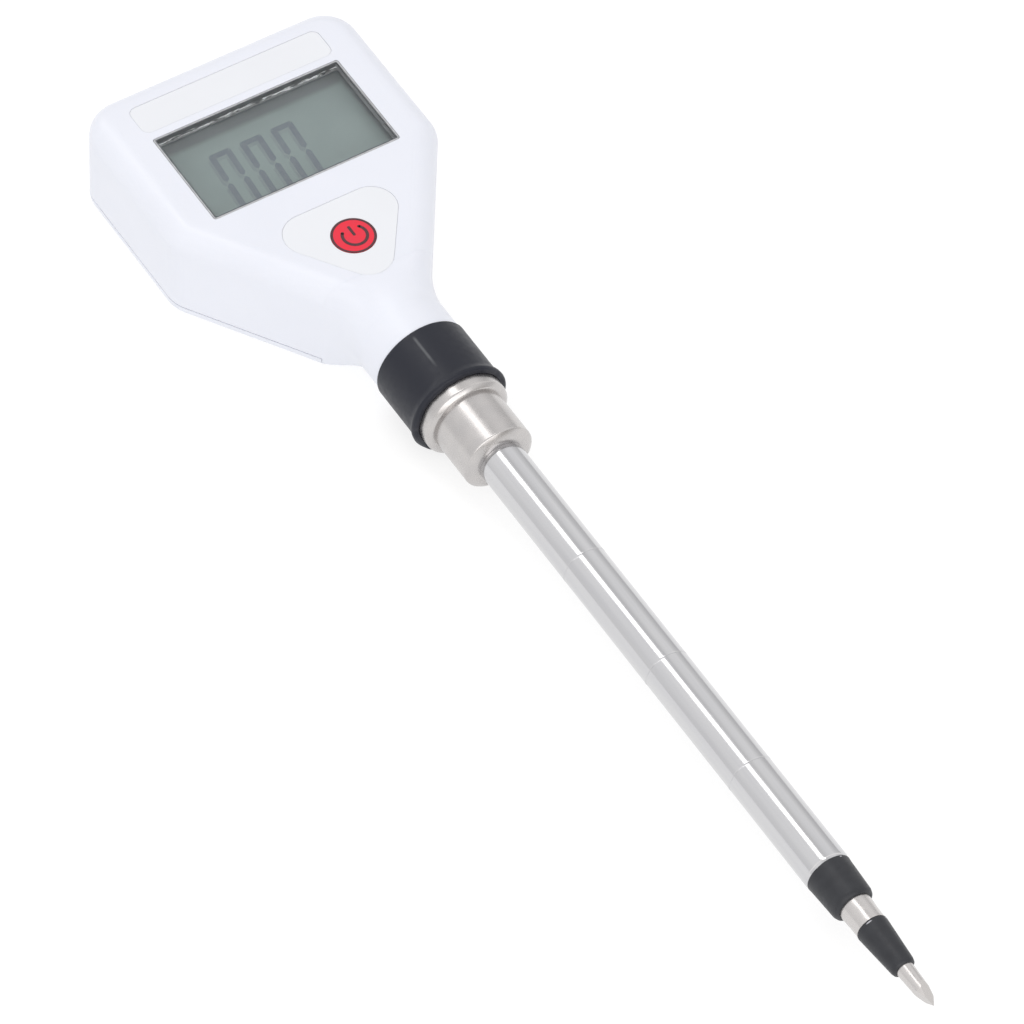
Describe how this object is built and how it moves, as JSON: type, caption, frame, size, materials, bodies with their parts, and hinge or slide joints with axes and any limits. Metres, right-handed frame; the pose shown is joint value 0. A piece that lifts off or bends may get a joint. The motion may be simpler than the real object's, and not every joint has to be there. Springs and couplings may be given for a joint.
{
  "type": "soil moisture meter",
  "caption": "Hand-held soil moisture meter: hexagonal white head with a display and a power key on a pointed stainless probe with depth grooves.",
  "frame": {"origin": "centre of the bounding box in plan, at the back of the head, which is the lowest face as the meter lies on its back", "axes": "+X across the display to its right, +Y along the probe axis towards the top of the head, -Y towards the point, +Z out of the display"},
  "size_m": [0.0634, 0.2708, 0.0233],
  "materials": {
    "white_abs": "satin white moulded ABS",
    "screw_steel": "zinc-plated screw steel",
    "cell_jacket": "printed cell jacket, plain",
    "contact_metal": "nickel-plated spring brass",
    "board_laminate": "green solder-masked glass-fibre laminate",
    "chip_plastic": "black moulded epoxy",
    "lcd_glass": "grey-green liquid crystal glass",
    "lcd_reflector": "matt reflective film",
    "dark_plastic": "dark grey plastic frame",
    "rubber_strip": "layered conductive silicone strip",
    "clear_window": "clear acrylic window",
    "red_plastic": "red plastic key cap",
    "film_white": "white polycarbonate film",
    "black_rubber": "satin black sleeve",
    "turned_steel": "lathe-turned stainless steel",
    "polished_steel": "drawn and polished stainless steel",
    "black_plastic": "charcoal moulded insulator",
    "core_plastic": "natural insulating tube",
    "wire_red": "red wire insulation",
    "wire_white": "white wire insulation",
    "wire_black": "black wire insulation"
  },
  "bodies": {
    "handset": {"front_shell": "white_abs", "rear_cover": "white_abs", "battery_tray": "white_abs", "housing_screws": "screw_steel", "board_screws": "screw_steel", "battery_cells": "cell_jacket", "positive_contacts": "contact_metal", "negative_contacts": "contact_metal", "main_board": "board_laminate", "microcontroller": "chip_plastic", "board_components": "chip_plastic", "tact_switch": "chip_plastic", "lcd_glass": "lcd_glass", "lcd_reflector": "lcd_reflector", "lcd_frame": "dark_plastic", "zebra_connector": "rubber_strip", "display_window": "clear_window", "key_overlay": "film_white", "blank_label": "film_white", "collar": "black_rubber", "probe_fitting": "turned_steel", "probe_tube": "polished_steel", "ring_electrode": "polished_steel", "tip_electrode": "polished_steel", "insulator_sleeve": "black_plastic", "insulator_cone": "black_plastic", "core_insulator": "core_plastic", "tip_lead": "wire_red", "ring_lead": "wire_white", "ground_lead": "wire_black"},
    "battery_door": {"battery_door": "white_abs"},
    "power_key": {"power_button": "red_plastic", "switch_plunger": "chip_plastic"}
  },
  "joints": [
    {"name": "battery_door_slide", "type": "slide", "parent": "handset", "child": "battery_door", "axis": [0, 1, 0], "range_m": [0, 0.05]},
    {"name": "power_key_press", "type": "slide", "parent": "handset", "child": "power_key", "axis": [0, 0, -1], "range_m": [0, 0.0004], "stiffness_N_per_m": 4000, "springref_m": -0.0002}
  ]
}
